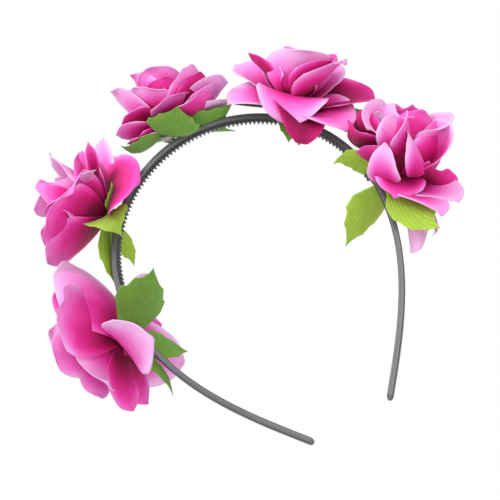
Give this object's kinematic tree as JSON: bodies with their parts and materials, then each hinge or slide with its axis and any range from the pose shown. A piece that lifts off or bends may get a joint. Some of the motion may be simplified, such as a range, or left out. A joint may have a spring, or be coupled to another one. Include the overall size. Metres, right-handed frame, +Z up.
{
  "type": "flower crown",
  "caption": "Sprung plastic headband with comb teeth inside, carrying a row of large fabric roses with green leaves along its crown.",
  "frame": {"origin": "on the comb tips at the middle of the crown, where the band rests on top of the head", "axes": "+Z up out of the crown, as worn; +X to the right arm and -X to the left arm, seen from the front; +Y to the back, across the band's width"},
  "size_m": [0.1969, 0.0646, 0.1878],
  "materials": {
    "black_plastic": "dark grey moulded plastic, satin",
    "hot_melt": "milky hot-melt glue",
    "hub_plastic": "green moulded plastic",
    "calyx_cloth": "stiffened green cloth with pressed veins",
    "petal_cloth": "dyed satin, magenta at the base and lilac at the rim",
    "bud_cloth": "dyed satin, deep magenta"
  },
  "bodies": {
    "crown": {"headband_crown": "black_plastic", "rose_3_glue": "hot_melt", "rose_3_hub": "hub_plastic", "rose_3_calyx": "calyx_cloth", "rose_3_bud": "bud_cloth", "rose_3_outer_petals": "petal_cloth", "rose_3_middle_petals": "petal_cloth", "rose_3_inner_petals": "petal_cloth"},
    "left_arm": {"headband_left_arm": "black_plastic", "rose_1_glue": "hot_melt", "rose_1_hub": "hub_plastic", "rose_1_calyx": "calyx_cloth", "rose_1_bud": "bud_cloth", "rose_1_outer_petals": "petal_cloth", "rose_1_middle_petals": "petal_cloth", "rose_1_inner_petals": "petal_cloth", "rose_2_glue": "hot_melt", "rose_2_hub": "hub_plastic", "rose_2_calyx": "calyx_cloth", "rose_2_bud": "bud_cloth", "rose_2_outer_petals": "petal_cloth", "rose_2_middle_petals": "petal_cloth", "rose_2_inner_petals": "petal_cloth"},
    "right_arm": {"headband_right_arm": "black_plastic", "rose_4_glue": "hot_melt", "rose_4_hub": "hub_plastic", "rose_4_calyx": "calyx_cloth", "rose_4_bud": "bud_cloth", "rose_4_outer_petals": "petal_cloth", "rose_4_middle_petals": "petal_cloth", "rose_4_inner_petals": "petal_cloth", "rose_5_glue": "hot_melt", "rose_5_hub": "hub_plastic", "rose_5_calyx": "calyx_cloth", "rose_5_bud": "bud_cloth", "rose_5_outer_petals": "petal_cloth", "rose_5_middle_petals": "petal_cloth", "rose_5_inner_petals": "petal_cloth"}
  },
  "joints": [
    {"name": "left_arm_flex", "type": "hinge", "parent": "crown", "child": "left_arm", "pos_m": [-0.02297, 0, -0.00018], "axis": [0, 1, 0], "range_deg": [-3, 12], "stiffness_Nm_per_rad": 1},
    {"name": "right_arm_flex", "type": "hinge", "parent": "crown", "child": "right_arm", "pos_m": [0.02297, 0, -0.00018], "axis": [0, -1, 0], "range_deg": [-3, 12], "stiffness_Nm_per_rad": 1}
  ]
}
